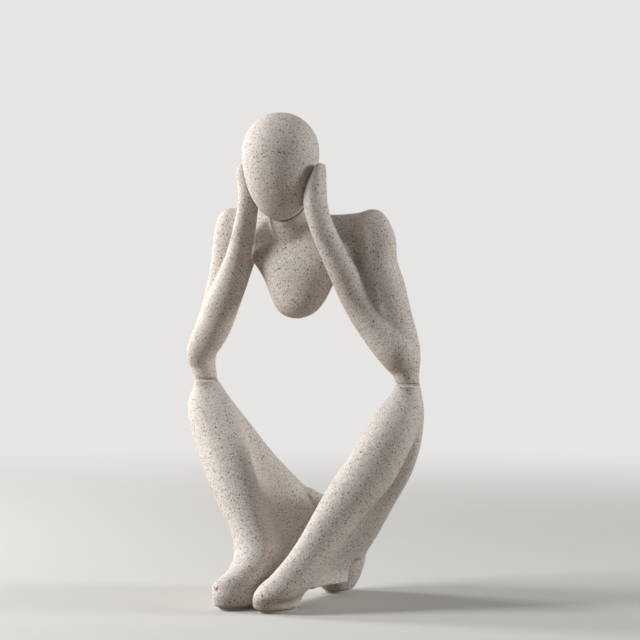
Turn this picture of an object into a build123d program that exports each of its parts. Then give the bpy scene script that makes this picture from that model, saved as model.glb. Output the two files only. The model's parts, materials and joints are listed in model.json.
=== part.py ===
"""A seated thinker figure in cast sandstone-effect resin, in millimetres.

The figure sits on the floor with its knees up, rests an elbow on each knee and holds its
plain egg-shaped head between its hands. It faces -Y, its own left is +X and +Z is up. The
origin is on the floor, at the middle of the figure's width and depth.

Every limb is a tube lofted through rings along a path. A path runs from one anchor point to
another, and its rows say where each ring stands between them, as shares of the limb.
"""

import os
from math import cos, pi, sin, sqrt

from build123d import *

# The whole figure
figure_height = 259.0  # crown above the floor
joint_height = 116.8  # the seam where each elbow stands on its knee
knee_out = 61.2  # from the middle line to a knee
knee_back = 7.5
neck_width = 12.2  # the narrow place between elbow and knee

# Head
head_width = 40.6
crown_rise = 20.9  # from the widest level up to the crown
jaw_drop = 35.7  # from the widest level down to the chin
head_lead = 19.5  # how far the head's axis stands in front of the origin

# Torso
shoulder_drop = 60.0  # from the crown down to the shoulders
shoulder_out = 41.5
shoulder_back = -0.5
torso_shift = 2.0  # the shoulders lean this far to the figure's left
right_shoulder_rise = 1.3  # the right shoulder stands this much higher
shoulder_half_split = 29.5  # each arm's casting meets the torso this far from the torso's middle
girdle_sag = 5.0  # the bar between the shoulders hangs this far below them, at the neck
girdle_thickness = 22.0
chest_width = 60.0
chest_depth = 29.0
chest_length = 43.2  # from the bar's middle down to the tip
throat_width = 25.0
throat_rise = 22.0  # the neck runs this far up, to end inside the head
throat_lead = 14.5  # and this far forward
cup_share = 0.62  # of the neck's run, where its pin is centred

# Arms
upper_arm_width = 19.4
forearm_width = 18.8
hand_out = 23.8  # from the middle line to a fingertip
hand_drop = 27.0  # from the crown down to the fingertips

# Legs
thigh_width = 26.0
shin_width = 27.6
hip_back = 47.0
hip_height = 17.0
left_ankle_out = 27.0
left_ankle_lead = 31.0
left_ankle_height = 33.3
right_ankle_out = 10.9
right_ankle_lead = 28.5
right_ankle_height = 29.4
web_thickness = 13.0  # the recessed wall that closes the bend of each leg

# Feet
foot_length = 28.6
foot_width = 17.5
foot_height = 17.0
toe_height = 7.0  # from the sole to the middle of the toes
foot_lead = 39.5  # from the origin forward to the middle of each sole
left_foot_out = 9.2
right_foot_out = 14.3
foot_turn = 17.0  # degrees, both feet point this much to the figure's right

# Seat
seat_width = 15.5
seat_depth = 19.5
seat_height = 32.0
saddle_height = 51.5  # the floor of the hollow between the thighs
saddle_thickness = 25.0
saddle_lead = 3.5  # the saddle's middle stands this far in front of the hips
seat_half_split = 16.0  # the seat casting meets each thigh this far from the middle
seat_front = 34.0  # and the webs of the legs this far behind the origin

# Pads, pins and bonds
pad_thickness = 1.5
pad_inset = 1.0
pin_width = 5.0
pin_clearance = 0.2  # on the width of every pin's bore
pin_length = 26.0
hip_pin_length = 17.0
bore_end_gap = 0.4
bond_thickness = 0.6
bond_rim = 0.2  # a squeezed-out bond stands this far past the neck
head_gap = 0.3
palm_bond_width = 7.0
palm_drop = 38.0  # from the crown down to the palms' bonds
middle_gap = 0.3  # between the two legs' webs on the middle line

pull_share = 4 / 3 * (sqrt(2) - 1)  # of the half size, which draws a quarter of an ellipse

os.makedirs("parts", exist_ok=True)


def run_path(start, end, side, rows, width):
    """Places a limb's rings along the line from start to end.

    Each row is (run, out, back, half across, half deep): run is a share of the way, out and
    back are offsets as shares of the limb's length, and the halves are shares of its width.
    """
    line = end - start
    path = []
    for run, out, back, across_share, deep_share in rows:
        offset = Vector(side * out * line.length, back * line.length, 0)
        path.append((start + line * run + offset, across_share * width, deep_share * width))
    return path


def dome_rows(path):
    """Adds two shrinking rings past the last one, so that the limb ends round."""
    last, across, deep = path[-1]
    heading = (last - path[-2][0]).normalized()
    reach = (across + deep) / 2
    rings = []
    for turn in (pi / 4.5, pi / 2.5):
        centre = last + heading * (reach * sin(turn))
        rings.append((centre, across * cos(turn), deep * cos(turn)))
    return path + rings


def ring_plane(path, place, flat_start, across):
    """The plane of one ring, square to the path, with its x axis as near to across as it can be."""
    before = path[max(place - 1, 0)][0]
    after = path[min(place + 1, len(path) - 1)][0]
    heading = (after - before).normalized()
    if flat_start and place == 0:
        heading = Vector(0, 0, 1 if heading.Z > 0 else -1)
    sideways = across - heading * heading.dot(across)
    return Plane(origin=path[place][0], x_dir=sideways, z_dir=heading)


def ring(half_across, half_deep):
    """Draws an ellipse as four smooth quarters, so that lofts keep their corners in line."""
    for quarter_turn in range(4):
        away = 1 if quarter_turn in (0, 3) else -1
        up = 1 if quarter_turn < 2 else -1
        beside = Vector(away * half_across, 0)
        above = Vector(0, up * half_deep)
        points = (beside, beside + above * pull_share, above + beside * pull_share, above)
        Bezier(*points)


def limb(path, flat_start=False, across=Vector(1, 0, 0)):
    """A solid tube lofted through the rings of a path."""
    with BuildPart() as tube:
        for place, (_, half_across, half_deep) in enumerate(path):
            with BuildSketch(ring_plane(path, place, flat_start, across)):
                with BuildLine():
                    ring(half_across, half_deep)
                make_face()
        loft()
    return tube.part


def stack(levels):
    """A solid lofted upwards through level rings: (centre, half across, half deep, turn)."""
    with BuildPart() as block:
        for centre, half_across, half_deep, turn in levels:
            with BuildSketch(Plane(origin=centre).rotated((0, 0, turn))):
                with BuildLine():
                    ring(half_across, half_deep)
                make_face()
        loft()
    return block.part


def ring_at_height(path, height):
    """Where a path passes a height: the point, the heading and the ring's two half sizes."""
    passed = (pair for pair in zip(path, path[1:]) if pair[0][0].Z >= height > pair[1][0].Z)
    here, there = next(passed, (path[-2], path[-1]))
    share = min(1, (height - here[0].Z) / (there[0].Z - here[0].Z))
    centre = here[0] + (there[0] - here[0]) * share
    halves = [first + (last - first) * share for first, last in zip(here[1:], there[1:])]
    return Vector(centre.X, centre.Y, height), (there[0] - here[0]).normalized(), halves


def level_reach(heading, halves, away, lean):
    """A tube's level cut: the vector to its widest side across a direction, and its reach along it."""
    across = Vector(1, 0, 0) - heading * heading.X
    across = across.normalized()
    spokes = []
    for half, axis in zip(halves, (across, heading.cross(across))):
        spokes.append((axis - heading * (axis.Z / min(heading.Z, -least_fall))) * half)
    beside = Vector(-away.Y, away.X, 0)
    width = sqrt(sum(spoke.dot(beside) ** 2 for spoke in spokes))
    skew = sum(spoke.dot(beside) * spoke.dot(away) for spoke in spokes) / width
    area = abs(spokes[0].X * spokes[1].Y - spokes[0].Y * spokes[1].X)
    return beside * width + away * skew * lean, away * (area / width)


def level_outline(back, front, away, waist):
    """Draws the level cut of a bent limb: two rounded ends and a narrower waist between them."""
    apart = (front[0] - back[0]).dot(away)
    lean = min(1, apart / (2 * web_thickness))
    back_side, back_reach = level_reach(*back[1:], away, lean)
    front_side, front_reach = level_reach(*front[1:], away, lean)
    beside = Vector(-away.Y, away.X, 0)
    plain = (back_side.dot(beside) + front_side.dot(beside)) / 2
    narrow = plain + (min(plain, waist) - plain) * lean
    pull = pull_share
    for side in (1, -1):
        start = back[0] + back_side * side
        end = front[0] + front_side * side
        middle = (back[0] + front[0]) / 2 + beside * (side * narrow)
        tip_back = back[0] - back_reach
        tip_front = front[0] + front_reach
        hold = away * (min((middle - start).dot(away), (end - middle).dot(away)) / 2)
        Bezier(tip_back, tip_back + back_side * side * pull, start - back_reach * pull, start)
        Bezier(start, start + hold, middle - hold, middle)
        Bezier(middle, middle + hold, end - hold, end)
        Bezier(end, end + front_reach * pull, tip_front + front_side * side * pull, tip_front)


def bent_limb(back_path, front_path, rows, least_apart):
    """One solid for two limbs that meet in a bend, lofted through level cuts.

    Each row is (level, waist): a share of the joint's height, and the half thickness of the
    wall between the limbs as a share of the web's.
    """
    with BuildPart() as limbs:
        for level, waist in rows:
            height = level * joint_height
            guide = min(height, bend_level * joint_height)
            away = ring_at_height(front_path, guide)[0] - ring_at_height(back_path, guide)[0]
            away = away.normalized()
            back = ring_at_height(back_path, height)
            front = back if height > front_path[0][0].Z else ring_at_height(front_path, height)
            apart = max(least_apart, (front[0] - back[0]).dot(away))
            front = (back[0] + away * apart, *front[1:])
            with BuildSketch(Plane.XY.offset(height)):
                with BuildLine():
                    level_outline(back, front, away, waist * web_thickness)
                make_face()
        loft()
    return limbs.part


def pin_between(plane, length):
    """A round pin on the middle of a plane, half of it on each side."""
    with BuildPart() as pin:
        with BuildSketch(plane.offset(-length / 2)):
            Circle(pin_width / 2)
        extrude(amount=length)
        chamfer(pin.edges(), length=pin_width / 10)
    return pin.part


def bore_between(plane, length):
    """The hole for such a pin, wider and longer by the named clearances."""
    with BuildPart() as bore:
        with BuildSketch(plane.offset(-length / 2 - bore_end_gap)):
            Circle((pin_width + pin_clearance) / 2)
        extrude(amount=length + 2 * bore_end_gap)
    return bore.part


def quarter(rise, half, way):
    """A quarter of an ellipse, from the axis out to the widest level."""
    pull = pull_share * half
    Bezier((0, way * rise), (pull, way * rise), (half, way * pull_share * rise), (half, 0))


def egg(growth=0.0):
    """The head's plain egg, two half ellipses turned about its upright axis in two halves."""
    centre = Vector(0, -head_lead, figure_height - crown_rise)
    half = head_width / 2 + growth
    with BuildPart() as shape:
        with BuildSketch(Plane(origin=centre, x_dir=(1, 0, 0), z_dir=(0, -1, 0))):
            with BuildLine():
                quarter(crown_rise + growth, half, 1)
                quarter(jaw_drop + growth, half, -1)
                Line((0, -jaw_drop - growth), (0, crown_rise + growth))
            make_face()
        revolve(axis=Axis((0, -head_lead, 0), (0, 0, 1)), revolution_arc=180)
        mirror(about=Plane.XZ.offset(head_lead))
    return shape.part


# Rows of the paths: run, out, back, half across, half deep
left_upper_arm_shares = (
    (0.000, 0.000, 0.000, 0.314, 0.314),
    (0.045, 0.000, 0.000, 0.345, 0.355),
    (0.150, 0.018, 0.004, 0.405, 0.440),
    (0.300, 0.016, 0.018, 0.440, 0.530),
    (0.485, 0.000, 0.024, 0.460, 0.580),
    (0.680, -0.005, 0.014, 0.475, 0.590),
    (0.840, 0.004, 0.004, 0.500, 0.570),
    (0.940, 0.014, 0.000, 0.510, 0.530),
    (1.000, 0.004, 0.000, 0.490, 0.490),
)
right_upper_arm_shares = (
    (0.000, 0.000, 0.000, 0.314, 0.314),
    (0.045, 0.020, 0.000, 0.325, 0.345),
    (0.150, 0.058, 0.004, 0.380, 0.385),
    (0.262, 0.053, 0.012, 0.422, 0.460),
    (0.365, 0.032, 0.018, 0.440, 0.515),
    (0.474, 0.011, 0.024, 0.455, 0.560),
    (0.575, 0.001, 0.020, 0.462, 0.580),
    (0.676, -0.009, 0.014, 0.470, 0.590),
    (0.835, -0.010, 0.004, 0.490, 0.570),
    (0.940, -0.004, 0.000, 0.500, 0.530),
    (1.000, 0.000, 0.000, 0.480, 0.490),
)
left_forearm_shares = (
    (0.000, 0.000, 0.000, 0.320, 0.320),
    (0.066, 0.002, -0.019, 0.500, 0.480),
    (0.208, -0.049, -0.028, 0.485, 0.485),
    (0.413, -0.083, -0.048, 0.420, 0.440),
    (0.506, -0.080, -0.066, 0.390, 0.415),
    (0.599, -0.083, -0.077, 0.348, 0.385),
    (0.721, -0.083, -0.079, 0.322, 0.380),
    (0.769, -0.083, -0.068, 0.322, 0.390),
    (0.826, -0.075, -0.050, 0.312, 0.400),
    (0.897, -0.051, -0.025, 0.245, 0.385),
    (0.965, -0.014, -0.010, 0.150, 0.300),
)
right_forearm_shares = (
    (0.000, 0.004, 0.000, 0.320, 0.320),
    (0.049, 0.036, -0.006, 0.380, 0.400),
    (0.128, 0.020, -0.013, 0.465, 0.470),
    (0.236, -0.023, -0.021, 0.490, 0.485),
    (0.342, -0.051, -0.031, 0.480, 0.480),
    (0.463, -0.088, -0.048, 0.437, 0.440),
    (0.592, -0.114, -0.075, 0.340, 0.360),
    (0.679, -0.117, -0.074, 0.310, 0.360),
    (0.757, -0.115, -0.070, 0.285, 0.350),
    (0.829, -0.098, -0.052, 0.265, 0.340),
    (0.904, -0.063, -0.028, 0.240, 0.310),
    (0.968, -0.026, -0.012, 0.180, 0.250),
)
left_thigh_shares = (
    (0.000, 0.000, 0.000, 0.235, 0.235),
    (0.060, 0.016, -0.004, 0.305, 0.305),
    (0.166, 0.034, -0.009, 0.425, 0.425),
    (0.307, 0.058, 0.000, 0.470, 0.470),
    (0.462, 0.052, 0.015, 0.500, 0.500),
    (0.600, 0.028, 0.023, 0.500, 0.500),
    (0.740, 0.012, 0.022, 0.495, 0.495),
    (0.880, 0.000, 0.010, 0.480, 0.480),
    (1.000, 0.000, 0.000, 0.440, 0.440),
)
right_thigh_shares = (
    (0.000, 0.000, 0.000, 0.235, 0.235),
    (0.060, 0.020, -0.004, 0.310, 0.310),
    (0.150, 0.052, -0.006, 0.420, 0.420),
    (0.266, 0.080, 0.000, 0.465, 0.465),
    (0.487, 0.092, 0.018, 0.490, 0.490),
    (0.620, 0.064, 0.024, 0.500, 0.500),
    (0.740, 0.036, 0.022, 0.500, 0.500),
    (0.880, 0.012, 0.010, 0.490, 0.490),
    (1.000, 0.000, 0.000, 0.440, 0.440),
)
left_shin_shares = (
    (0.000, 0.000, 0.000, 0.180, 0.180),
    (0.035, -0.009, -0.012, 0.344, 0.344),
    (0.151, 0.013, 0.000, 0.435, 0.435),
    (0.319, 0.031, 0.014, 0.489, 0.471),
    (0.552, 0.028, 0.035, 0.495, 0.453),
    (0.726, 0.009, 0.032, 0.435, 0.417),
    (0.875, 0.004, 0.018, 0.373, 0.373),
    (1.000, 0.000, 0.000, 0.333, 0.344),
)
right_shin_shares = (
    (0.000, 0.000, 0.000, 0.180, 0.180),
    (0.030, 0.000, -0.009, 0.360, 0.344),
    (0.190, 0.005, 0.003, 0.478, 0.453),
    (0.353, 0.010, 0.007, 0.510, 0.453),
    (0.500, 0.008, 0.000, 0.478, 0.435),
    (0.689, 0.011, 0.008, 0.405, 0.400),
    (0.857, 0.000, 0.014, 0.372, 0.370),
    (1.000, 0.000, 0.000, 0.374, 0.360),
)
left_instep_shares = (
    (0.38, 0.084, 0.016, 0.337, 0.344),
    (0.73, 0.120, 0.000, 0.344, 0.326),
    (1.00, 0.129, -0.025, 0.300, 0.236),
)
right_instep_shares = (
    (0.44, -0.134, 0.072, 0.372, 0.355),
    (0.80, -0.115, 0.085, 0.345, 0.308),
    (1.00, -0.072, 0.179, 0.290, 0.236),
)

# Rows of a foot: level, shift to the heel, half across, half long, all as shares of the foot
foot_shares = (
    (0.00, 0.000, 0.460, 0.460),
    (0.12, -0.020, 0.530, 0.520),
    (0.34, -0.030, 0.545, 0.555),
    (0.60, 0.010, 0.520, 0.500),
    (0.88, 0.110, 0.400, 0.360),
    (1.00, 0.140, 0.280, 0.250),
)

# Rows of a leg's level cuts: level as a share of the joint's height, half thickness of the
# wall in the bend as a share of the web's
leg_level_shares = (
    (0.997, 0.60),
    (0.959, 0.66),
    (0.912, 0.76),
    (0.853, 0.82),
    (0.769, 0.78),
    (0.661, 0.64),
    (0.553, 0.48),
    (0.446, 0.36),
    (0.343, 0.30),
    (0.253, 0.28),
    (0.165, 0.28),
    (0.060, 0.30),
)
least_fall = 0.8  # the level cuts treat a flatter run as one this steep
bend_level = 0.85  # above this share of the joint's height the cuts keep one direction

# Rows of the chest: drop from the girdle to the tip, shift across, back, half across, half deep
chest_shares = (
    (0.00, 0.000, 0.000, 0.420, 0.420),
    (0.16, 0.005, -0.010, 0.455, 0.480),
    (0.30, 0.015, -0.030, 0.440, 0.500),
    (0.43, 0.028, -0.050, 0.375, 0.500),
    (0.62, 0.040, -0.090, 0.300, 0.460),
    (0.80, 0.042, -0.140, 0.235, 0.390),
    (0.92, 0.038, -0.165, 0.165, 0.280),
    (0.975, 0.034, -0.175, 0.095, 0.165),
    (1.00, 0.032, -0.178, 0.035, 0.060),
)

# Rows of the girdle from the right shoulder to the left: run, sag, half deep, half tall
girdle_shares = (
    (0.00, 0.0, 0.40, 0.40),
    (0.22, 0.6, 0.46, 0.60),
    (0.50, 1.0, 0.58, 0.58),
    (0.75, 0.7, 0.45, 0.45),
    (1.00, 0.0, 0.40, 0.40),
)

# Rows of the fill under each shoulder, from inside the elbow up into the girdle
armpit_shares = (
    (0.377, -0.030, 0.006, 0.200, 0.200),
    (0.524, -0.070, -0.013, 0.330, 0.300),
    (0.646, -0.093, -0.010, 0.360, 0.310),
    (0.756, -0.110, -0.008, 0.360, 0.310),
    (0.866, -0.129, -0.007, 0.380, 0.330),
    (0.963, -0.157, -0.004, 0.360, 0.360),
)

# Rows of the throat from the girdle up into the head: run and half as a share
throat_shares = ((0.0, 0.56), (0.5, 0.48), (1.0, 0.40))

# Rows of the saddle from the right thigh to the left: across, back, rise and half, all as
# shares of a thigh's width
saddle_shares = (
    (-1.08, -0.37, 0.54, 0.42),
    (-0.54, -0.10, 0.17, 0.46),
    (0.00, 0.00, 0.00, 0.48),
    (0.54, -0.10, 0.17, 0.46),
    (1.08, -0.37, 0.54, 0.42),
)

# Rows of the seat block: level, half across, half deep, back
seat_shares = (
    (0.00, 0.50, 0.50, -0.10),
    (0.22, 0.76, 0.66, -0.06),
    (0.55, 0.98, 0.68, -0.03),
    (1.00, 0.98, 0.66, -0.08),
)

# Levels and anchors
shoulder_height = figure_height - shoulder_drop
girdle_height = shoulder_height - girdle_sag
side_names = {1: "left", -1: "right"}
joint_points = {side: Vector(side * knee_out, knee_back, joint_height) for side in side_names}
shoulder_heights = {1: shoulder_height, -1: shoulder_height + right_shoulder_rise}
shoulder_points = {
    side: Vector(torso_shift + side * shoulder_out, shoulder_back, shoulder_heights[side])
    for side in side_names
}
ankle_points = {
    1: Vector(left_ankle_out, -left_ankle_lead, left_ankle_height),
    -1: Vector(-right_ankle_out, -right_ankle_lead, right_ankle_height),
}
foot_points = {
    1: Vector(left_foot_out, -foot_lead, pad_thickness),
    -1: Vector(-right_foot_out, -foot_lead, pad_thickness),
}
hip_point = Vector(0, hip_back, hip_height)
girdle_point = Vector(torso_shift, shoulder_back, girdle_height)
saddle_point = Vector(0, hip_back - saddle_lead, saddle_height - saddle_thickness / 2)
throat_top = Vector(0, shoulder_back - throat_lead, girdle_height + throat_rise)
bond_half = Vector(0, 0, bond_thickness / 2)
knuckle = Vector(0, 0, neck_width / 2)

upper_arm_shares = {1: left_upper_arm_shares, -1: right_upper_arm_shares}
forearm_shares = {1: left_forearm_shares, -1: right_forearm_shares}
thigh_shares = {1: left_thigh_shares, -1: right_thigh_shares}
shin_shares = {1: left_shin_shares, -1: right_shin_shares}
instep_shares = {1: left_instep_shares, -1: right_instep_shares}


def upper_arm_path(side):
    """The rings of one upper arm, from the neck over the knee up to the shoulder."""
    start = joint_points[side] + bond_half
    return run_path(start, shoulder_points[side], side, upper_arm_shares[side], upper_arm_width)


def upper_arm(side):
    """One upper arm with its round shoulder."""
    return limb(dome_rows(upper_arm_path(side)), flat_start=True)


def forearm_path(side):
    """The rings of one forearm and its plain hand, from inside the elbow up to the fingertip."""
    start = joint_points[side] + knuckle
    fingertip = Vector(side * hand_out, -head_lead - head_gap, figure_height - hand_drop)
    return run_path(start, fingertip, side, forearm_shares[side], forearm_width)


def forearm(side):
    """One forearm, round at the fingertip."""
    return limb(dome_rows(forearm_path(side)))


def thigh_path(side):
    """The rings of one thigh, from the neck under the elbow down to the hips."""
    start = joint_points[side] - bond_half
    return run_path(start, hip_point, side, thigh_shares[side], thigh_width)


def shin_path(side):
    """The rings of one shin and instep, from inside the knee down to the toes."""
    start = joint_points[side] - knuckle
    ankle = ankle_points[side]
    forward = Vector(0, -foot_length / 3, toe_height).rotate(Axis.Z, -foot_turn)
    toes = foot_points[side] + forward
    shin_rings = run_path(start, ankle, side, shin_shares[side], shin_width)
    instep_rings = run_path(ankle, toes, side, instep_shares[side], shin_width)
    return shin_rings + instep_rings


def bent_leg(side):
    """One thigh and shin with the wall that closes the bend between them."""
    return bent_limb(thigh_path(side), shin_path(side), leg_level_shares, neck_width / 4)


def foot(side):
    """The block of one foot, from its flat sole up into the instep."""
    levels = []
    for level, shift, across, along in foot_shares:
        rise = Vector(0, shift * foot_length, level * foot_height).rotate(Axis.Z, -foot_turn)
        middle = foot_points[side] + rise
        levels.append((middle, across * foot_width, along * foot_length, -foot_turn))
    return stack(levels)


def seat_block():
    """The block under the hips, from its flat base up into the saddle."""
    levels = []
    for level, across, deep, back in seat_shares:
        middle = Vector(0, hip_back + back * seat_depth, pad_thickness + level * seat_height)
        levels.append((middle, across * seat_width, deep * seat_depth, 0))
    return stack(levels)


def girdle():
    """The bar between the shoulders."""
    start, end = shoulder_points[-1], shoulder_points[1]
    sag = Vector(0, 0, girdle_sag)
    path = []
    for run, drop, deep_share, tall_share in girdle_shares:
        centre = start + (end - start) * run - sag * drop
        path.append((centre, deep_share * girdle_thickness, tall_share * girdle_thickness))
    return limb(path, across=Vector(0, 1, 0))


def armpit(side):
    """The fill in the corner under one shoulder, between the upper arm and the girdle."""
    start = joint_points[side] + bond_half
    return limb(run_path(start, shoulder_points[side], side, armpit_shares, upper_arm_width))


def saddle():
    """The rounded hollow that joins the thighs over the seat."""
    path = []
    for across, back, rise, half_share in saddle_shares:
        half = half_share * saddle_thickness
        offset = Vector(across * thigh_width, back * thigh_width, rise * thigh_width)
        path.append((saddle_point + offset, half, half))
    return limb(path, across=Vector(0, 1, 0))


def chest():
    """The chest, which narrows downwards to a free rounded tip."""
    levels = []
    for down, shift, back, across, deep in reversed(chest_shares):
        middle = Vector(
            shift * chest_width,
            shoulder_back + back * chest_depth,
            girdle_height - down * chest_length,
        )
        levels.append((middle, across * chest_width, deep * chest_depth, 0))
    return stack(levels)


def throat():
    """The neck, which leans forward from the girdle and ends inside the head."""
    start = Vector(0, shoulder_back, girdle_height)
    path = []
    for run, half_share in throat_shares:
        half = half_share * throat_width
        path.append((start + (throat_top - start) * run, half, half))
    return limb(path)


# Where each pin crosses its seam
throat_line = throat_top - Vector(0, shoulder_back, girdle_height)
pin_planes = {
    "neck": Plane(origin=throat_top - throat_line * (1 - cup_share), z_dir=throat_line),
}
for side, side_name in side_names.items():
    pin_planes[f"{side_name}_elbow"] = Plane(origin=joint_points[side])
    split_across = torso_shift + side * shoulder_half_split
    pin_planes[f"{side_name}_shoulder"] = Plane(
        origin=(split_across, shoulder_back, (shoulder_height + girdle_height) / 2),
        z_dir=(side, 0, 0),
    )
    pin_planes[f"{side_name}_hip"] = Plane(
        origin=(side * seat_half_split, saddle_point.Y, saddle_point.Z), z_dir=(side, 0, 0)
    )
pins, bores = {}, {}
for pin_name, plane in pin_planes.items():
    length = hip_pin_length if pin_name.endswith("hip") else pin_length
    pins[pin_name] = pin_between(plane, length)
    bores[pin_name] = bore_between(plane, length)

# Head
with BuildPart() as head:
    add(egg())
    add(bores["neck"], mode=Mode.SUBTRACT)
head.part.label = "head"
export_step(head.part, "parts/head.step")

# Upper body: one form, cut at the shoulders into the torso and the arms
head_hollow = egg(head_gap)
with BuildPart() as upper_body:
    add(girdle())
    add(chest())
    add(throat())
    for side in side_names:
        add(upper_arm(side))
        add(armpit(side))

split_planes = {
    side: Plane.YZ.offset(torso_shift + side * shoulder_half_split) for side in side_names
}
with BuildPart() as torso:
    add(upper_body.part)
    split(bisect_by=split_planes[1], keep=Keep.BOTTOM)
    split(bisect_by=split_planes[-1], keep=Keep.TOP)
    add(head_hollow, mode=Mode.SUBTRACT)
    for pin_name in ("neck", "left_shoulder", "right_shoulder"):
        add(bores[pin_name], mode=Mode.SUBTRACT)
torso.part.label = "torso"
export_step(torso.part, "parts/torso.step")

arm_keeps = {1: Keep.TOP, -1: Keep.BOTTOM}
for side, side_name in side_names.items():
    with BuildPart() as arm:
        add(upper_body.part)
        split(bisect_by=split_planes[side], keep=arm_keeps[side])
        add(forearm(side))
        add(head_hollow, mode=Mode.SUBTRACT)
        for pin_name in (f"{side_name}_elbow", f"{side_name}_shoulder"):
            add(bores[pin_name], mode=Mode.SUBTRACT)
    arm.part.label = f"{side_name}_arm"
    export_step(arm.part, f"parts/{side_name}_arm.step")

# Lower body: the hips are one form, cut where the seat's casting meets the legs
with BuildPart() as seat_space:
    with Locations((0, seat_front, 0)):
        Box(
            2 * seat_half_split,
            joint_height,
            joint_height,
            align=(Align.CENTER, Align.MIN, Align.MIN),
        )

with BuildPart() as seat:
    add(limb(thigh_path(1), flat_start=True))
    add(limb(thigh_path(-1), flat_start=True))
    add(saddle())
    add(seat_block())
    add(seat_space.part, mode=Mode.INTERSECT)
    for pin_name in ("left_hip", "right_hip"):
        add(bores[pin_name], mode=Mode.SUBTRACT)
seat.part.label = "seat"
export_step(seat.part, "parts/seat.step")

for side, side_name in side_names.items():
    with BuildPart() as leg:
        add(bent_leg(side))
        add(seat_space.part, mode=Mode.SUBTRACT)
        add(foot(side))
        split(bisect_by=Plane.YZ.offset(side * middle_gap / 2), keep=arm_keeps[side])
        for pin_name in (f"{side_name}_elbow", f"{side_name}_hip"):
            add(bores[pin_name], mode=Mode.SUBTRACT)
    leg.part.label = f"{side_name}_leg"
    export_step(leg.part, f"parts/{side_name}_leg.step")

# Pins
for pin_name, pin in pins.items():
    pin.label = f"{pin_name}_pin"
    export_step(pin, f"parts/{pin_name}_pin.step")

# Bonds: a thin disc in each joint under an elbow, and a thin cup where each palm meets the head
for side, side_name in side_names.items():
    with BuildPart() as elbow_bond:
        with BuildSketch(Plane(origin=joint_points[side] - bond_half)):
            Circle(neck_width / 2 + bond_rim)
            Circle((pin_width + pin_clearance) / 2, mode=Mode.SUBTRACT)
        extrude(amount=bond_thickness)
    elbow_bond.part.label = f"{side_name}_elbow_bond"
    export_step(elbow_bond.part, f"parts/{side_name}_elbow_bond.step")

    palm_plane = Plane(origin=(0, -head_lead, figure_height - palm_drop), z_dir=(side, 0, 0))
    with BuildPart() as palm_bond:
        with BuildSketch(palm_plane):
            Circle(palm_bond_width / 2)
        extrude(amount=head_width)
        add(head_hollow, mode=Mode.INTERSECT)
        add(egg(), mode=Mode.SUBTRACT)
    palm_bond.part.label = f"{side_name}_palm_bond"
    export_step(palm_bond.part, f"parts/{side_name}_palm_bond.step")

# Pads
for side, side_name in side_names.items():
    _, _, across, along = foot_shares[0]
    with BuildPart() as foot_pad:
        with BuildSketch(Plane(origin=foot_points[side]).rotated((0, 0, -foot_turn))):
            Ellipse(along * foot_length - pad_inset, across * foot_width - pad_inset, rotation=90)
        extrude(amount=-pad_thickness)
    foot_pad.part.label = f"{side_name}_foot_pad"
    export_step(foot_pad.part, f"parts/{side_name}_foot_pad.step")

_, seat_across, seat_deep, seat_shift = seat_shares[0]
with BuildPart() as seat_pad:
    with BuildSketch(Plane(origin=(0, hip_back + seat_shift * seat_depth, pad_thickness))):
        Ellipse(seat_deep * seat_depth - pad_inset, seat_across * seat_width - pad_inset, rotation=90)
    extrude(amount=-pad_thickness)
seat_pad.part.label = "seat_pad"
export_step(seat_pad.part, "parts/seat_pad.step")
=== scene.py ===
"""A seated thinker figure in cast sandstone-effect resin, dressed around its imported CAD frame.

The castings start from copies of the CAD solids. Those of one form, such as the torso with its
arms, are joined and skinned again as one surface, so that the limbs run into each other as
poured resin does, and are then cut apart at the same planes as the solids.
"""

import json
import logging
import math
from dataclasses import dataclass
from enum import Enum
from typing import Callable, Iterable

import bmesh
import bpy
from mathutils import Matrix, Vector

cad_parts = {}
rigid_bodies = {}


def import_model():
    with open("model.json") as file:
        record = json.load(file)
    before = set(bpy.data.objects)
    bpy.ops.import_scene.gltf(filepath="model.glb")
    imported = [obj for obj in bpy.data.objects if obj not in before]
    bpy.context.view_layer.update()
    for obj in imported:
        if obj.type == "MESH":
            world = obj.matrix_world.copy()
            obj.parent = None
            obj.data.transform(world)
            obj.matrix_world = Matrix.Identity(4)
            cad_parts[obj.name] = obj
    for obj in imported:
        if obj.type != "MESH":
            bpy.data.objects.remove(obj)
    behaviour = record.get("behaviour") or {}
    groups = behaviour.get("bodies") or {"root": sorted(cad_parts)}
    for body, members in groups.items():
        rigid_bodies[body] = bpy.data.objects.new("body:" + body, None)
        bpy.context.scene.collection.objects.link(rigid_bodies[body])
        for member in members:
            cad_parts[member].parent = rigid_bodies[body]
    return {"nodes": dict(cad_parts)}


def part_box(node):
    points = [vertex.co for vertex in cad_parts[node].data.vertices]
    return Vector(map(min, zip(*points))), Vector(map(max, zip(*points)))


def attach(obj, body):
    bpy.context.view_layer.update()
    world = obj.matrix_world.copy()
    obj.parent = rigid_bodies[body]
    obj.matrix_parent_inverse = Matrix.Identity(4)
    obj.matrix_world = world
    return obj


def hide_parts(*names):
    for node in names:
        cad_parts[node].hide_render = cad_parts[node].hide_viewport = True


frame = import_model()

MM = 0.001
# Corners of loose triangles closer than this are one point.
SAME_POINT = 0.002 * MM
# A point this near to a plane lies on it.
ON_PLANE = 0.001 * MM
# A vertex this near to a cutting plane isn't split again.
CUT_REACH = 0.0001 * MM
# How far one smoothing pass moves a vertex towards the middle of its neighbours.
MELT_FACTOR = 0.5
LOG = logging.getLogger("thinker")


class Slot(Enum):
    """The record's material slots."""

    CAST = "cast_resin"
    BOND = "bond_resin"
    PIN = "pin_steel"
    PAD = "pad_foam"


class Side(Enum):
    """The figure's own left and right, with the sign of their X."""

    LEFT = 1
    RIGHT = -1

    @property
    def word(self) -> str:
        """The side's name as it stands in node names."""
        return self.name.lower()


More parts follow.
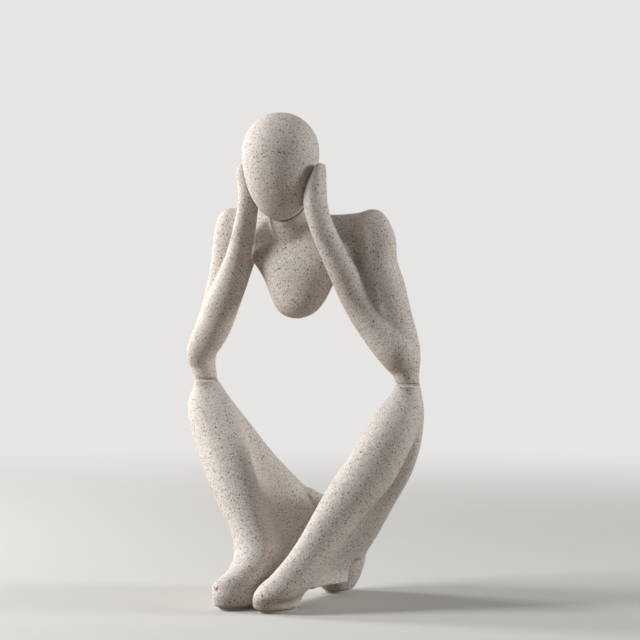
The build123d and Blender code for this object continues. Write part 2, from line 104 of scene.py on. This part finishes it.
def srgb(colour: str) -> tuple[float, float, float, float]:
    """Turns an sRGB hex colour into Blender's linear values.

    Args:
        colour: Six hex digits, such as "C8B9A9".

    Returns:
        Red, green, blue and an opacity of 1.
    """
    parts = [int(colour[place : place + 2], 16) / 255 for place in (0, 2, 4)]
    linear = [part / 12.92 if part <= 0.04045 else ((part + 0.055) / 1.055) ** 2.4 for part in parts]
    return linear[0], linear[1], linear[2], 1.0


def add_node(tree: bpy.types.NodeTree, kind: str, settings: dict, sockets: dict) -> bpy.types.Node:
    """Adds one shader node.

    Args:
        tree: The material's node tree.
        kind: The node's type name.
        settings: Attributes of the node and their values.
        sockets: Input sockets by name or number, each with a value or an output to link.

    Returns:
        The new node.
    """
    node = tree.nodes.new(kind)
    for name, value in settings.items():
        setattr(node, name, value)
    for name, value in sockets.items():
        if isinstance(value, bpy.types.NodeSocket):
            tree.links.new(value, node.inputs[name])
        else:
            node.inputs[name].default_value = value
    return node


def empty_material(name: str) -> bpy.types.Material:
    """Makes a material without any nodes."""
    material = bpy.data.materials.new(name)
    material.use_nodes = True
    material.node_tree.nodes.clear()
    return material


def deselect_all() -> None:
    """Leaves edit mode and deselects every object."""
    if bpy.context.object and bpy.context.object.mode != "OBJECT":
        bpy.ops.object.mode_set(mode="OBJECT")
    bpy.ops.object.select_all(action="DESELECT")


def select_only(piece: bpy.types.Object) -> None:
    """Makes one object the selected and active one."""
    deselect_all()
    piece.select_set(True)
    bpy.context.view_layer.objects.active = piece


def edit_vertices(piece: bpy.types.Object, wanted: Callable[[Vector], bool]) -> None:
    """Opens a mesh in edit mode with the vertices at certain places selected.

    Args:
        piece: The object to edit.
        wanted: Says whether a vertex at this place is selected.
    """
    select_only(piece)
    bpy.ops.object.mode_set(mode="EDIT")
    bpy.ops.mesh.select_mode(type="VERT")
    bpy.ops.mesh.select_all(action="DESELECT")
    mesh = bmesh.from_edit_mesh(piece.data)
    for vertex in mesh.verts:
        if wanted(vertex.co):
            vertex.select = True
    mesh.select_flush(True)
    bmesh.update_edit_mesh(piece.data)


def apply_modifier(piece: bpy.types.Object, kind: str, settings: dict) -> None:
    """Adds a modifier to a piece and applies it.

    Args:
        piece: The object to change.
        kind: The modifier's type.
        settings: Attributes of the modifier and their values.
    """
    select_only(piece)
    modifier = piece.modifiers.new(kind.lower(), kind)
    for name, value in settings.items():
        setattr(modifier, name, value)
    bpy.ops.object.modifier_apply(modifier=modifier.name)


def join_all(name: str, pieces: list[bpy.types.Object]) -> bpy.types.Object:
    """Joins objects into the first one, under a new name."""
    deselect_all()
    for piece in pieces:
        piece.select_set(True)
    bpy.context.view_layer.objects.active = pieces[0]
    if len(pieces) > 1:
        bpy.ops.object.join()
    pieces[0].name = name
    return pieces[0]


def copy_nodes(name: str, nodes: Iterable[str]) -> bpy.types.Object:
    """Copies CAD nodes into one object of its own, with its loose triangles merged.

    Args:
        name: The new object's name.
        nodes: The CAD nodes to copy.

    Returns:
        The copy.
    """
    copies = []
    for node in nodes:
        piece = bpy.data.objects.new(name, frame["nodes"][node].data.copy())
        bpy.context.scene.collection.objects.link(piece)
        copies.append(piece)
    form = join_all(name, copies)
    form.data.materials.clear()
    bpy.ops.object.mode_set(mode="EDIT")
    bpy.ops.mesh.select_all(action="SELECT")
    bpy.ops.mesh.remove_doubles(threshold=SAME_POINT)
    bpy.ops.mesh.normals_make_consistent(inside=False)
    bpy.ops.object.mode_set(mode="OBJECT")
    return form


def duplicate(name: str, source: bpy.types.Object) -> bpy.types.Object:
    """Copies an object with its mesh under a new name."""
    piece = bpy.data.objects.new(name, source.data.copy())
    bpy.context.scene.collection.objects.link(piece)
    return piece


def slit(form: bpy.types.Object, point: Vector) -> None:
    """Parts a mesh along the one ring of an upright section that lies round a point.

    Args:
        form: The closed mesh, which is left open along the ring.
        point: A point inside the ring, on a plane square to the X axis.
    """
    edit_vertices(form, lambda place: True)
    bpy.ops.mesh.bisect(plane_co=point, plane_no=(1, 0, 0), threshold=CUT_REACH)
    mesh = bmesh.from_edit_mesh(form.data)
    section = {
        edge for edge in mesh.edges if all(abs(end.co.x - point.x) < ON_PLANE for end in edge.verts)
    }
    starts = (edge.verts[0] for edge in section)
    todo = [min(starts, key=lambda vertex: (vertex.co - point).length)]
    bpy.ops.mesh.select_all(action="DESELECT")
    while todo:
        for edge in todo.pop().link_edges:
            if edge in section:
                section.discard(edge)
                edge.select_set(True)
                todo.extend(edge.verts)
    bmesh.update_edit_mesh(form.data)
    bpy.ops.mesh.edge_split(type="EDGE")
    bpy.ops.object.mode_set(mode="OBJECT")


def split_apart(form: bpy.types.Object) -> list[bpy.types.Object]:
    """Closes a slit mesh's open ends and makes an object of each loose part.

    Args:
        form: The slit mesh.

    Returns:
        The parts in the order of their X.
    """
    edit_vertices(form, lambda place: False)
    bpy.ops.mesh.select_non_manifold(extend=False, use_wire=False, use_multi_face=False, use_verts=False)
    bpy.ops.mesh.fill_holes(sides=0)
    bpy.ops.mesh.select_all(action="SELECT")
    bpy.ops.mesh.normals_make_consistent(inside=False)
    bpy.ops.mesh.separate(type="LOOSE")
    bpy.ops.object.mode_set(mode="OBJECT")
    parts = bpy.context.selected_objects
    return sorted(parts, key=lambda part: sum(corner[0] for corner in part.bound_box))


def make_block(low: Vector, high: Vector) -> bpy.types.Object:
    """Makes a closed block between two corners, to cut with."""
    deselect_all()
    bpy.ops.mesh.primitive_cube_add(size=1, location=(low + high) / 2, scale=high - low)
    block = bpy.context.object
    bpy.ops.object.transform_apply(location=True, rotation=True, scale=True)
    return block


def subtract(piece: bpy.types.Object, cutter: bpy.types.Object) -> None:
    """Takes a closed cutter out of a piece and removes the cutter."""
    apply_modifier(piece, "BOOLEAN", {"operation": "DIFFERENCE", "object": cutter, "solver": "EXACT"})
    bpy.data.objects.remove(cutter)


def keep_inside(piece: bpy.types.Object, cutter: bpy.types.Object) -> None:
    """Keeps only what of a piece lies in a closed cutter and removes the cutter."""
    apply_modifier(piece, "BOOLEAN", {"operation": "INTERSECT", "object": cutter, "solver": "EXACT"})
    bpy.data.objects.remove(cutter)


def drill(piece: bpy.types.Object, pins: Iterable[str], clearance: float) -> None:
    """Bores the holes of some pins into a casting.

    Args:
        piece: The casting.
        pins: The pins' nodes.
        clearance: How far the bore stands off the pin all round.
    """
    for pin in pins:
        bore = copy_nodes("bore", (pin,))
        bpy.ops.object.mode_set(mode="EDIT")
        bpy.ops.mesh.select_all(action="SELECT")
        bpy.ops.transform.shrink_fatten(value=clearance)
        bpy.ops.object.mode_set(mode="OBJECT")
        subtract(piece, bore)


@dataclass(frozen=True)
class Grain:
    """One kind of mineral grain in the resin; lengths in millimetres."""

    colour: str
    spacing: float
    radius: float
    share: float
    strength: float


@dataclass(frozen=True)
class CastResin:
    """Polyester resin filled with stone powder: pale, matt and full of dark mineral grains."""

    name: str = "sandstone_cast_resin"
    pale: str = "EEE7E1"
    warm: str = "DFD5CC"
    shade: str = "9C8E82"
    blotch_size: float = 14.0
    blotch_detail: float = 3.0
    mottle_size: float = 0.8
    mottle_detail: float = 2.0
    mottle_roughness: float = 0.7
    mottle_start: float = 0.42
    mottle_end: float = 0.72
    mottle_strength: float = 0.75
    roughness: float = 0.74
    ior: float = 1.5
    skin_size: float = 0.8
    skin_detail: float = 4.0
    skin_roughness: float = 0.6
    skin_height: float = 0.07
    grain_shift: tuple[float, float, float] = (31.7, 11.3, 5.9)
    grain_edge: tuple[float, float] = (-0.02, 0.06)
    smallest_grain: float = 0.5
    grains: tuple[Grain, ...] = (
        Grain("FBF6F1", 1.1, 0.38, 0.45, 0.90),
        Grain("75655A", 1.05, 0.37, 0.55, 0.82),
        Grain("2A211C", 1.65, 0.46, 0.62, 1.00),
    )

    def make(self) -> bpy.types.Material:
        """Builds the node material.

        Returns:
            The material, its pattern on Object coordinates in millimetres.
        """
        material = empty_material(self.name)
        tree = material.node_tree
        place = add_node(tree, "ShaderNodeTexCoord", {}, {}).outputs["Object"]
        to_millimetres = {"Vector": place, "Scale": (1 / MM, 1 / MM, 1 / MM)}
        grid = add_node(tree, "ShaderNodeMapping", {}, to_millimetres).outputs["Vector"]
        blotches = {"Vector": grid, "Scale": 1 / self.blotch_size, "Detail": self.blotch_detail}
        blotch = add_node(tree, "ShaderNodeTexNoise", {}, blotches).outputs["Fac"]
        colour = self.mix(tree, blotch, srgb(self.pale), srgb(self.warm))
        mottles = {
            "Vector": grid,
            "Scale": 1 / self.mottle_size,
            "Detail": self.mottle_detail,
            "Roughness": self.mottle_roughness,
        }
        mottle = add_node(tree, "ShaderNodeTexNoise", {}, mottles).outputs["Fac"]
        spread = {
            "Value": mottle,
            "From Min": self.mottle_start,
            "From Max": self.mottle_end,
            "To Max": self.mottle_strength,
        }
        mask = add_node(tree, "ShaderNodeMapRange", {}, spread).outputs["Result"]
        colour = self.mix(tree, mask, colour, srgb(self.shade))
        for number, grain in enumerate(self.grains):
            mask = self.scatter(tree, grid, grain, number)
            colour = self.mix(tree, mask, colour, srgb(grain.colour))
        skins = {
            "Vector": grid,
            "Scale": 1 / self.skin_size,
            "Detail": self.skin_detail,
            "Roughness": self.skin_roughness,
        }
        skin = add_node(tree, "ShaderNodeTexNoise", {}, skins).outputs["Fac"]
        relief = {"Height": skin, "Distance": self.skin_height * MM}
        bump = add_node(tree, "ShaderNodeBump", {}, relief).outputs["Normal"]
        surface = {"Base Color": colour, "Roughness": self.roughness, "IOR": self.ior, "Normal": bump}
        shader = add_node(tree, "ShaderNodeBsdfPrincipled", {}, surface)
        add_node(tree, "ShaderNodeOutputMaterial", {}, {"Surface": shader.outputs["BSDF"]})
        return material

    @staticmethod
    def mix(tree: bpy.types.NodeTree, mask: object, base: object, over: object) -> bpy.types.NodeSocket:
        """Lays one colour over another where the mask says."""
        sockets = {"Factor": mask, 6: base, 7: over}
        return add_node(tree, "ShaderNodeMix", {"data_type": "RGBA"}, sockets).outputs[2]

    def scatter(
        self, tree: bpy.types.NodeTree, grid: bpy.types.NodeSocket, grain: Grain, number: int
    ) -> bpy.types.NodeSocket:
        """Scatters one kind of grain through the resin.

        Args:
            tree: The material's node tree.
            grid: Object coordinates in millimetres.
            grain: The grain's looks.
            number: Shifts the pattern, so that no two kinds lie on each other.

        Returns:
            A mask that is the grain's strength inside a grain and 0 outside.
        """
        shift = {"Vector": grid, "Location": tuple(number * step for step in self.grain_shift)}
        shifted = add_node(tree, "ShaderNodeMapping", {}, shift).outputs["Vector"]
        cells = add_node(
            tree, "ShaderNodeTexVoronoi", {}, {"Vector": shifted, "Scale": 1 / grain.spacing}
        )
        draws = add_node(tree, "ShaderNodeSeparateColor", {}, {"Color": cells.outputs["Color"]})
        held = add_node(
            tree, "ShaderNodeMath", {"operation": "LESS_THAN"}, {0: draws.outputs["Red"], 1: grain.share}
        ).outputs["Value"]
        reach = grain.radius / grain.spacing
        sizes = {"Value": draws.outputs["Green"], "To Min": self.smallest_grain * reach, "To Max": reach}
        size = add_node(tree, "ShaderNodeMapRange", {}, sizes).outputs["Result"]
        inside = add_node(
            tree, "ShaderNodeMath", {"operation": "SUBTRACT"}, {0: size, 1: cells.outputs["Distance"]}
        ).outputs["Value"]
        start, end = self.grain_edge
        edge = {"Value": inside, "From Min": start, "From Max": end, "To Max": grain.strength}
        mask = add_node(tree, "ShaderNodeMapRange", {}, edge).outputs["Result"]
        return add_node(
            tree, "ShaderNodeMath", {"operation": "MULTIPLY"}, {0: mask, 1: held}
        ).outputs["Value"]


@dataclass(frozen=True)
class PlainFinish:
    """A plain finish with a fine mottle, such as drawn steel or foam; lengths in millimetres."""

    name: str
    colour: str
    mottle: str
    mottle_size: float
    roughness: float
    metallic: float = 0.0
    mottle_detail: float = 4.0
    relief: float = 0.03

    def make(self) -> bpy.types.Material:
        """Builds the node material.

        Returns:
            The material, its pattern on Object coordinates in millimetres.
        """
        material = empty_material(self.name)
        tree = material.node_tree
        place = add_node(tree, "ShaderNodeTexCoord", {}, {}).outputs["Object"]
        to_millimetres = {"Vector": place, "Scale": (1 / MM, 1 / MM, 1 / MM)}
        grid = add_node(tree, "ShaderNodeMapping", {}, to_millimetres).outputs["Vector"]
        mottles = {"Vector": grid, "Scale": 1 / self.mottle_size, "Detail": self.mottle_detail}
        noise = add_node(tree, "ShaderNodeTexNoise", {}, mottles).outputs["Fac"]
        colours = {"Factor": noise, 6: srgb(self.colour), 7: srgb(self.mottle)}
        colour = add_node(tree, "ShaderNodeMix", {"data_type": "RGBA"}, colours).outputs[2]
        relief = {"Height": noise, "Distance": self.relief * MM}
        bump = add_node(tree, "ShaderNodeBump", {}, relief).outputs["Normal"]
        surface = {
            "Base Color": colour,
            "Roughness": self.roughness,
            "Metallic": self.metallic,
            "Normal": bump,
        }
        shader = add_node(tree, "ShaderNodeBsdfPrincipled", {}, surface)
        add_node(tree, "ShaderNodeOutputMaterial", {}, {"Surface": shader.outputs["BSDF"]})
        return material


class Finishes:
    """The figure's materials, each made once."""

    def __init__(self) -> None:
        """Makes every material of the figure."""
        bond = CastResin(name="bonding_resin", pale="DAD2CB", warm="C4B8AE", skin_height=0.12)
        self.materials = {
            # Pale and matt, with grains of three sizes: reads as speckled sandstone.
            Slot.CAST: CastResin().make(),
            # The same mix, pressed out of the joints and a little darker where it set rough.
            Slot.BOND: bond.make(),
            # Drawn mild steel: satin grey, seen only where a casting is taken off.
            Slot.PIN: PlainFinish("drawn_steel_dowel", "8E8E8C", "77787A", 1.5, 0.35, 1.0).make(),
            # Closed-cell foam: soft, dull and slightly uneven.
            Slot.PAD: PlainFinish("foam_pad", "CFC9BE", "B2AB9E", 0.5, 0.95).make(),
        }

    def dress(self, piece: bpy.types.Object, slot: Slot) -> None:
        """Gives a piece the one material of its slot."""
        piece.data.materials.clear()
        piece.data.materials.append(self.materials[slot])


@dataclass
class Casting:
    """What every group of castings shares: the finishes and the way a piece is finished."""

    finishes: Finishes
    seam_angle: float = math.radians(50)
    bore_clearance: float = 0.1 * MM

    def hand_over(self, piece: bpy.types.Object, slot: Slot, nodes: Iterable[str]) -> None:
        """Shades a piece, dresses it and ties it to the frame.

        Args:
            piece: The finished piece.
            slot: Its material slot.
            nodes: The CAD nodes that it stands for.
        """
        select_only(piece)
        bpy.ops.object.shade_smooth_by_angle(angle=self.seam_angle)
        self.finishes.dress(piece, slot)
        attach(piece, "root")
        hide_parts(*nodes)
        LOG.info("%s: %d faces", piece.name, len(piece.data.polygons))


@dataclass
class Head(Casting):
    """The plain egg of the head, two half ellipsoids with one widest ring."""

    crown_rise: float = 20.9 * MM
    jaw_drop: float = 35.7 * MM
    around: int = 96
    rings: int = 64

    def build(self) -> None:
        """Shapes the egg from a sphere and bores it for the neck's pin."""
        low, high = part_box("head")
        half = (high.x - low.x) / 2
        centre = Vector(((low.x + high.x) / 2, (low.y + high.y) / 2, high.z - self.crown_rise))
        deselect_all()
        bpy.ops.mesh.primitive_uv_sphere_add(segments=self.around, ring_count=self.rings, radius=half)
        egg = bpy.context.object
        egg.name = "head_casting"
        for sign, reach in ((1, self.crown_rise), (-1, self.jaw_drop)):
            edit_vertices(egg, lambda place: place.z * sign > ON_PLANE)
            bpy.ops.transform.resize(value=(1, 1, reach / half), center_override=(0, 0, 0))
        bpy.ops.mesh.select_all(action="SELECT")
        bpy.ops.transform.translate(value=centre)
        bpy.ops.object.mode_set(mode="OBJECT")
        drill(egg, ("neck_pin",), self.bore_clearance)
        self.hand_over(egg, Slot.CAST, ("head",))


@dataclass
class PouredForm(Casting):
    """A form that was poured as one and then cut into castings."""

    voxel: float = 0.7 * MM
    melt_passes: int = 14

    def skin(self, name: str, nodes: Iterable[str]) -> bpy.types.Object:
        """Joins copies of CAD nodes under one new skin with soft inner corners.

        Args:
            name: The form's name.
            nodes: The CAD nodes that it covers, with the pins that fill their bores.

        Returns:
            The closed, smooth form.
        """
        form = copy_nodes(name, nodes)
        apply_modifier(form, "REMESH", {"mode": "VOXEL", "voxel_size": self.voxel})
        apply_modifier(form, "SMOOTH", {"factor": MELT_FACTOR, "iterations": self.melt_passes})
        self.drop_bubbles(form)
        return form

    @staticmethod
    def drop_bubbles(form: bpy.types.Object) -> None:
        """Removes the small closed bubbles that the new skin leaves round the pins."""
        top = max(vertex.co.z for vertex in form.data.vertices)
        edit_vertices(form, lambda place: place.z >= top)
        bpy.ops.mesh.select_linked()
        bpy.ops.mesh.select_all(action="INVERT")
        bpy.ops.mesh.delete(type="VERT")
        bpy.ops.object.mode_set(mode="OBJECT")


@dataclass
class UpperBody(PouredForm):
    """The torso and both arms."""

    def build(self) -> None:
        """Skins torso and arms as one, then cuts the arms off at the shoulders."""
        pins = [f"{side.word}_shoulder_pin" for side in Side]
        arms = [f"{side.word}_arm" for side in Side]
        form = self.skin("upper_form", ("torso", *arms, *pins))
        low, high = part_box("torso")
        for seam, pin in zip((high.x, low.x), pins):
            pin_low, pin_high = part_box(pin)
            middle = (pin_low + pin_high) / 2
            slit(form, Vector((seam, middle.y, middle.z)))
        right_arm, torso, left_arm = split_apart(form)
        for side, arm in ((Side.LEFT, left_arm), (Side.RIGHT, right_arm)):
            arm.name = f"{side.word}_arm_casting"
            drill(arm, (f"{side.word}_shoulder_pin",), self.bore_clearance)
            self.hand_over(arm, Slot.CAST, (f"{side.word}_arm",))
        torso.name = "torso_casting"
        drill(torso, pins, self.bore_clearance)
        self.hand_over(torso, Slot.CAST, ("torso",))


@dataclass
class LowerBody(PouredForm):
    """The seat and both legs with their feet."""

    sole_low: float = 1.7 * MM
    sole_high: float = 3.6 * MM
    sole_crumble: float = 0.25 * MM
    crumble_seed: int = 11
    foot_top: float = 22.0 * MM
    foot_melt: int = 60
    saddle_reach: float = 9.0 * MM
    saddle_melt: int = 60
    pit_fineness: int = 3
    # Each pit's place and radius in millimetres.
    pits: tuple[tuple[float, float, float, float], ...] = (
        (-19.2, -53.1, 11.3, 1.1),
        (9.8, -56.3, 9.9, 0.7),
    )

    def build(self) -> None:
        """Skins seat and legs as one, then cuts out the seat and parts the legs."""
        pins = [f"{side.word}_hip_pin" for side in Side]
        legs = [f"{side.word}_leg" for side in Side]
        form = self.skin("lower_form", ("seat", *legs, *pins))
        low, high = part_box("seat")
        self.melt_corners(form, low, high)
        seat = duplicate("seat_casting", form)
        keep_inside(seat, self.seat_space(low, high))
        drill(seat, pins, self.bore_clearance)
        self.hand_over(seat, Slot.CAST, ("seat",))
        for side in Side:
            leg = duplicate(f"{side.word}_leg_casting", form)
            subtract(leg, self.seat_space(low, high))
            keep_inside(leg, self.side_space(side))
            drill(leg, (f"{side.word}_hip_pin",), self.bore_clearance)
            self.rough_cast(leg, side)
            self.hand_over(leg, Slot.CAST, (f"{side.word}_leg",))
        bpy.data.objects.remove(form)

    def melt_corners(self, form: bpy.types.Object, low: Vector, high: Vector) -> None:
        """Melts the hollows over the soles and the corners where the thighs meet the saddle.

        Args:
            form: The skinned seat and legs.
            low: The seat's low corner.
            high: The seat's high corner.
        """
        edit_vertices(
            form, lambda place: self.sole_high < place.z < self.foot_top and place.y < 0
        )
        bpy.ops.mesh.vertices_smooth(factor=MELT_FACTOR, repeat=self.foot_melt)
        corners = [Vector((side, low.y, high.z)) for side in (low.x, high.x)]
        edit_vertices(
            form,
            lambda place: any((place - corner).length < self.saddle_reach for corner in corners),
        )
        bpy.ops.mesh.vertices_smooth(factor=MELT_FACTOR, repeat=self.saddle_melt)
        bpy.ops.object.mode_set(mode="OBJECT")

    def seat_space(self, low: Vector, high: Vector) -> bpy.types.Object:
        """The block of space that the seat's casting takes, as a cutter.

        Args:
            low: The seat's low corner.
            high: The seat's high corner.

        Returns:
            A block flush with the seat's sides and front, and larger elsewhere.
        """
        room = high.z - low.z
        return make_block(
            Vector((low.x, low.y, low.z - room)), Vector((high.x, high.y + room, high.z + room))
        )

    def side_space(self, side: Side) -> bpy.types.Object:
        """The half of space on one side of the figure's middle, as a cutter."""
        low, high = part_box(f"{side.word}_leg")
        room = high.z - low.z
        outer = max(high.x, -low.x) + room
        ends = sorted((0.0, side.value * outer))
        return make_block(
            Vector((ends[0], low.y - room, low.z - room)), Vector((ends[1], high.y + room, high.z + room))
        )

    def rough_cast(self, leg: bpy.types.Object, side: Side) -> None:
        """Gives a leg the crumbled rim round its sole and the air pits of its toes.

        Args:
            leg: The leg's casting.
            side: Which leg it is.
        """
        for *place, radius in self.pits:
            point = Vector(place) * MM
            if point.x * side.value < 0:
                continue
            deselect_all()
            bpy.ops.mesh.primitive_ico_sphere_add(
                subdivisions=self.pit_fineness, radius=radius * MM, location=point
            )
            pit = bpy.context.object
            bpy.ops.object.transform_apply(location=True, rotation=True, scale=True)
            subtract(leg, pit)
        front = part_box("seat")[0].y
        edit_vertices(leg, lambda place: self.sole_low < place.z < self.sole_high and place.y < front)
        bpy.ops.transform.vertex_random(offset=self.sole_crumble, seed=self.crumble_seed + side.value)
        bpy.ops.object.mode_set(mode="OBJECT")


@dataclass
class Joints(Casting):
    """The bonds with their squeezed-out beads, and the pins inside the joints."""

    bead_radius: float = 0.50 * MM
    bead_lumps: float = 0.36 * MM
    bead_sink: float = 0.55 * MM
    around: int = 56
    section: int = 8
    voxel: float = 0.2 * MM
    bead_melt: int = 2
    bead_seed: int = 5

    def build(self) -> None:
        """Builds both elbow bonds and dresses the palm bonds and the pins."""
        for side in Side:
            self.build_bead(side)
        for node, piece in frame["nodes"].items():
            if node.endswith("_palm_bond"):
                self.finishes.dress(piece, Slot.BOND)
            elif node.endswith("_pin"):
                self.finishes.dress(piece, Slot.PIN)

    def build_bead(self, side: Side) -> None:
        """Builds the bond under one elbow: a washer with a lumpy bead round its rim."""
        node = f"{side.word}_elbow_bond"
        low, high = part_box(node)
        deselect_all()
        bpy.ops.mesh.primitive_torus_add(
            location=(low + high) / 2,
            major_radius=(high.x - low.x) / 2 - self.bead_sink,
            minor_radius=self.bead_radius,
            major_segments=self.around,
            minor_segments=self.section,
        )
        bead = bpy.context.object
        bpy.ops.object.transform_apply(location=True, rotation=True, scale=True)
        bpy.ops.object.mode_set(mode="EDIT")
        bpy.ops.mesh.select_all(action="SELECT")
        bpy.ops.transform.vertex_random(offset=self.bead_lumps, seed=self.bead_seed + side.value)
        bpy.ops.object.mode_set(mode="OBJECT")
        bond = join_all(f"{side.word}_elbow_bead", [copy_nodes("washer", (node,)), bead])
        apply_modifier(bond, "REMESH", {"mode": "VOXEL", "voxel_size": self.voxel})
        apply_modifier(bond, "SMOOTH", {"factor": MELT_FACTOR, "iterations": self.bead_melt})
        self.hand_over(bond, Slot.BOND, (node,))


@dataclass
class Pads:
    """The thin foam pads under the rest faces, whose CAD shape stays."""

    finishes: Finishes

    def build(self) -> None:
        """Dresses the pads."""
        for node, piece in frame["nodes"].items():
            if node.endswith("_pad"):
                self.finishes.dress(piece, Slot.PAD)
                LOG.info("%s: dressed", node)


@dataclass(frozen=True)
class Lamp:
    """One soft square lamp; lengths in metres, its power in watts."""

    name: str
    place: tuple[float, float, float]
    power: float
    size: float


@dataclass
class Studio:
    """The pale floor, the soft lights and the camera; lengths in metres."""

    floor_half: float = 6.0
    floor_colour: str = "DDDBD7"
    bounce_colour: str = "8C8075"
    backdrop_colour: str = "E6E5E3"
    fade_start: float = 0.30
    fade_end: float = 1.1
    room_light: float = 0.17
    camera_place: tuple[float, float, float] = (0.6681, -1.2321, 0.187)
    camera_turn: float = 28.0
    camera_tilt: float = 1.518
    focal_length: float = 148.56
    sensor_width: float = 36.0
    nearest: float = 0.05
    farthest: float = 30.0
    aim: tuple[float, float, float] = (0.0, 0.0, 0.12)
    lamps: tuple[Lamp, ...] = (
        Lamp("key", (-1.00, -0.78, 0.75), 16.0, 0.50),
        Lamp("side", (-1.15, 0.02, 0.50), 9.0, 0.35),
        Lamp("edge", (1.17, 0.50, 0.45), 8.0, 0.40),
    )

    @staticmethod
    def looking_rays(tree: bpy.types.NodeTree) -> bpy.types.NodeSocket:
        """The rays that look at a surface: straight, in a mirror or through glass."""
        rays = add_node(tree, "ShaderNodeLightPath", {}, {}).outputs
        pair = add_node(
            tree,
            "ShaderNodeMath",
            {"operation": "MAXIMUM"},
            {0: rays["Is Glossy Ray"], 1: rays["Is Transmission Ray"]},
        ).outputs["Value"]
        return add_node(
            tree, "ShaderNodeMath", {"operation": "MAXIMUM"}, {0: rays["Is Camera Ray"], 1: pair}
        ).outputs["Value"]

    def build_floor(self) -> None:
        """Lays the floor, which keeps the figure's shadow and fades into the backdrop."""
        deselect_all()
        bpy.ops.mesh.primitive_plane_add(size=2 * self.floor_half)
        floor = bpy.context.object
        floor.name = "floor"
        material = empty_material("pale_floor")
        tree = material.node_tree
        looking = self.looking_rays(tree)
        place = add_node(tree, "ShaderNodeTexCoord", {}, {}).outputs["Object"]
        away = add_node(
            tree, "ShaderNodeVectorMath", {"operation": "LENGTH"}, {0: place}
        ).outputs["Value"]
        fades = {"Value": away, "From Min": self.fade_start, "From Max": self.fade_end}
        fade = add_node(
            tree, "ShaderNodeMapRange", {"interpolation_type": "SMOOTHSTEP"}, fades
        ).outputs["Result"]
        seen = add_node(
            tree, "ShaderNodeMath", {"operation": "MULTIPLY"}, {0: fade, 1: looking}
        ).outputs["Value"]
        colours = {"Factor": looking, 6: srgb(self.bounce_colour), 7: srgb(self.floor_colour)}
        colour = add_node(tree, "ShaderNodeMix", {"data_type": "RGBA"}, colours).outputs[2]
        matt = add_node(tree, "ShaderNodeBsdfDiffuse", {}, {"Color": colour})
        glow = add_node(
            tree, "ShaderNodeEmission", {}, {"Color": srgb(self.backdrop_colour), "Strength": 1.0}
        )
        both = {0: seen, 1: matt.outputs["BSDF"], 2: glow.outputs["Emission"]}
        mixed = add_node(tree, "ShaderNodeMixShader", {}, both)
        add_node(tree, "ShaderNodeOutputMaterial", {}, {"Surface": mixed.outputs["Shader"]})
        floor.data.materials.append(material)

    def build_world(self) -> None:
        """Gives the room an even light and a pale backdrop."""
        world = bpy.data.worlds.new("studio")
        bpy.context.scene.world = world
        world.use_nodes = True
        tree = world.node_tree
        tree.nodes.clear()
        looking = self.looking_rays(tree)
        room = add_node(
            tree, "ShaderNodeBackground", {}, {"Color": srgb("FFFFFF"), "Strength": self.room_light}
        )
        seen = add_node(
            tree, "ShaderNodeBackground", {}, {"Color": srgb(self.backdrop_colour), "Strength": 1.0}
        )
        both = {0: looking, 1: room.outputs["Background"], 2: seen.outputs["Background"]}
        mixed = add_node(tree, "ShaderNodeMixShader", {}, both)
        add_node(tree, "ShaderNodeOutputWorld", {}, {"Surface": mixed.outputs["Shader"]})

    def add_lamp(self, lamp: Lamp) -> None:
        """Hangs a lamp that faces the figure."""
        deselect_all()
        bpy.ops.object.light_add(type="AREA", location=lamp.place)
        light = bpy.context.object
        light.name = lamp.name
        light.data.energy = lamp.power
        light.data.size = lamp.size
        towards = Vector(self.aim) - Vector(lamp.place)
        light.rotation_euler = towards.to_track_quat("-Z", "Y").to_euler()

    def build_camera(self) -> None:
        """Sets the camera where the photograph was taken from."""
        deselect_all()
        turn = (math.radians(90 - self.camera_tilt), 0, math.radians(self.camera_turn))
        bpy.ops.object.camera_add(location=self.camera_place, rotation=turn)
        camera = bpy.context.object
        camera.name = "camera"
        camera.data.lens = self.focal_length
        camera.data.sensor_width = self.sensor_width
        camera.data.clip_start = self.nearest
        camera.data.clip_end = self.farthest
        bpy.context.scene.camera = camera

    def build(self) -> None:
        """Builds the whole studio."""
        bpy.context.scene.view_settings.view_transform = "Standard"
        self.build_floor()
        self.build_world()
        for lamp in self.lamps:
            self.add_lamp(lamp)
        self.build_camera()


def main() -> None:
    """Builds the figure, then the studio around it."""
    logging.basicConfig(level=logging.INFO)
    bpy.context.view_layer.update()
    finishes = Finishes()
    Head(finishes).build()
    UpperBody(finishes).build()
    LowerBody(finishes).build()
    Joints(finishes).build()
    Pads(finishes).build()
    Studio().build()


if __name__ == "__main__":
    main()
